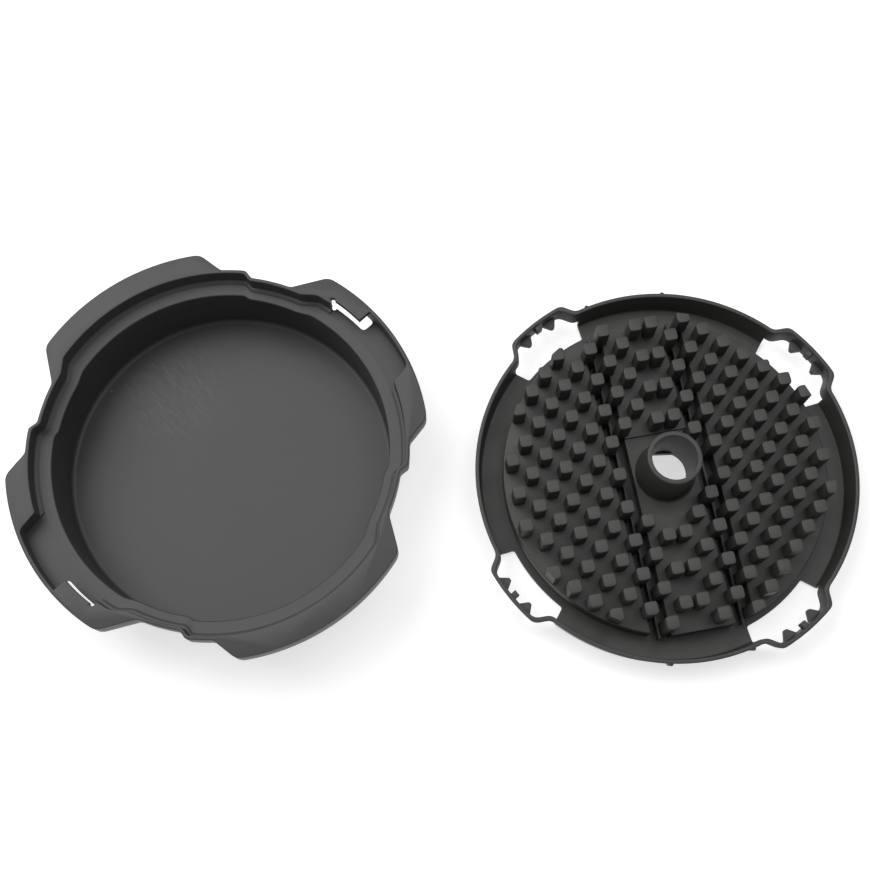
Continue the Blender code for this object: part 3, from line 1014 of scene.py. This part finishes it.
def one_peg():
    """A square peg with rounded corners and a soft upper edge, standing at the middle."""
    half = PEG_SIDE / 2
    square = [(-half, half), (half, half), (half, -half), (-half, -half)]
    outline = rounded(square, {corner: PEG_CORNER for corner in range(4)}, 2)
    return soft_prism("peg_field", outline, PLATE_FLOOR / 2, PEG_TOP, PEG_EDGE)


def peg_tree():
    """Stands a peg in every other cell of a square lattice, staggered from one half to the other.
    The middle stays free, and the round edge of the field trims what stands over it."""
    inputs = {
        "Cells": "NodeSocketInt",
        "Pitch": "NodeSocketFloat",
        "Free cells": "NodeSocketFloat",
        "Field cells": "NodeSocketFloat",
        "Field radius": "NodeSocketFloat",
        "Height": "NodeSocketFloat",
        "Plastic": "NodeSocketMaterial",
    }
    tree, bench, start, end = tree_with_inputs("pegs_on_lattice", inputs)
    given = {name: Value(bench, start.outputs[name]) for name in inputs}
    pitch = given["Pitch"]
    side = given["Cells"] * 2.0 + 1.0
    lattice = bench.add(
        "GeometryNodeMeshGrid",
        None,
        {
            "Size X": given["Cells"] * pitch * 2.0,
            "Size Y": given["Cells"] * pitch * 2.0,
            "Vertices X": side,
            "Vertices Y": side,
        },
    )
    place = bench.add("ShaderNodeSeparateXYZ", None, {0: bench.add("GeometryNodeInputPosition").outputs[0]})
    column = round(bench.value(place, "X") / pitch)
    row = round(bench.value(place, "Y") / pitch)
    away = (column * column + row * row) ** 0.5
    in_field = (away > given["Free cells"]) * (away < given["Field cells"])
    left = (column < -0.5) + (abs(column) < 0.5) * (row > 0.5)
    odd = (column + row) % 2.0
    kept = in_field * (abs(odd - left) < 0.5)
    sockets = {"Geometry": lattice.outputs[0], "Selection": 1.0 - kept}
    points = bench.add("GeometryNodeDeleteGeometry", {"domain": "POINT"}, sockets)
    sockets = {"Points": points.outputs[0], "Instance": start.outputs["Geometry"]}
    pegs = bench.add("GeometryNodeInstanceOnPoints", None, sockets)
    real = bench.add("GeometryNodeRealizeInstances", None, {0: pegs.outputs[0]})
    depth = given["Height"] * 3.0
    sockets = {"Vertices": ROUND_STEPS, "Radius": given["Field radius"], "Depth": depth}
    drum = bench.add("GeometryNodeMeshCylinder", None, sockets)
    trimmed = bench.add("GeometryNodeMeshBoolean", {"operation": "INTERSECT", "solver": "EXACT"})
    bench.feed(trimmed.inputs["Mesh 2"], real.outputs[0])
    bench.feed(trimmed.inputs["Mesh 2"], drum.outputs["Mesh"])
    sockets = {"Geometry": trimmed.outputs[0], "Material": given["Plastic"]}
    coated = bench.add("GeometryNodeSetMaterial", None, sockets)
    bench.feed(end.inputs[0], coated.outputs[0])
    return tree


def build_pegs(material):
    pegs = one_peg()
    values = {
        "Cells": math.ceil(FIELD_CELLS),
        "Pitch": PITCH,
        "Free cells": HUB_CELLS,
        "Field cells": FIELD_CELLS,
        "Field radius": FIELD_R,
        "Height": PEG_TOP,
        "Plastic": material,
    }
    run_tree(pegs, peg_tree(), values)
    finish_piece(pegs, "peg_plate", material)
    return pegs


# Studio


def build_studio():
    """A white table, an even white surround, a broad lamp, a weaker one to fill, and the camera."""
    plate_x, plate_y = centre_of("peg_plate")
    bm = bmesh.new()
    bmesh.ops.create_grid(bm, x_segments=1, y_segments=1, size=TABLE_SIZE)
    table = piece("table", bm)
    white = bpy.data.materials.new("white_table")
    white.use_nodes = True
    cover = white.node_tree.nodes["Principled BSDF"]
    cover.inputs["Base Color"].default_value = TABLE_COLOUR
    cover.inputs["Roughness"].default_value = TABLE_ROUGHNESS
    cover.inputs["Emission Color"].default_value = WHITE
    cover.inputs["Emission Strength"].default_value = TABLE_GLOW
    table.data.materials.append(white)
    table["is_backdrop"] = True

    scene = bpy.context.scene
    world = bpy.data.worlds.new("surround")
    world.use_nodes = True
    glow = world.node_tree.nodes["Background"]
    glow.inputs["Color"].default_value = WHITE
    glow.inputs["Strength"].default_value = SURROUND_GLOW
    scene.world = world

    for name, place, size, energy in LAMPS:
        lamp = bpy.data.lights.new(name, "AREA")
        lamp.size = size
        lamp.energy = energy
        holder = bpy.data.objects.new(name, lamp)
        holder.location = place
        holder.rotation_euler = (-Vector(place)).to_track_quat("-Z", "Y").to_euler()
        scene.collection.objects.link(holder)

    lens = bpy.data.cameras.new("camera")
    lens.sensor_width = SENSOR
    lens.lens = LENS
    eye = bpy.data.objects.new("camera", lens)
    x_away, y_away, height = EYE_FROM_PLATE
    eye.location = (plate_x + x_away, plate_y + y_away, height)
    eye.rotation_euler = Euler(tuple(math.radians(turn) for turn in EYE_TURN))
    scene.collection.objects.link(eye)
    scene.camera = eye
    scene.view_settings.view_transform = "Standard"


def write_sizes():
    boxes = {"cad": [list(corner) for corner in cad_box], "visual": [list(corner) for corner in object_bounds()]}


def worn_on(node, worn):
    """The worn patch of this piece, where the piece lies."""
    x_mid, y_mid = centre_of(node)
    return (x_mid + worn[0], y_mid + worn[1], worn[2])


def main():
    tray_worn = worn_on("grid_tray", TRAY_WORN)
    plate_worn = worn_on("peg_plate", PLATE_WORN)
    tray_plastic = moulded_plastic(
        "tray_plastic_matte", TRAY_GRAIN, TRAY_DUST, TRAY_BRUSHED, TRAY_TINT, tray_worn
    )
    plate_plastic = moulded_plastic(
        "plate_plastic_matte", PLATE_GRAIN, PLATE_DUST, PLATE_BRUSHED, PLATE_TINT, plate_worn
    )
    copies = ring_tree()
    build_tray(tray_plastic)
    build_plate_shell(copies, plate_plastic)
    build_pegs(plate_plastic)
    build_studio()
    write_sizes()


main()
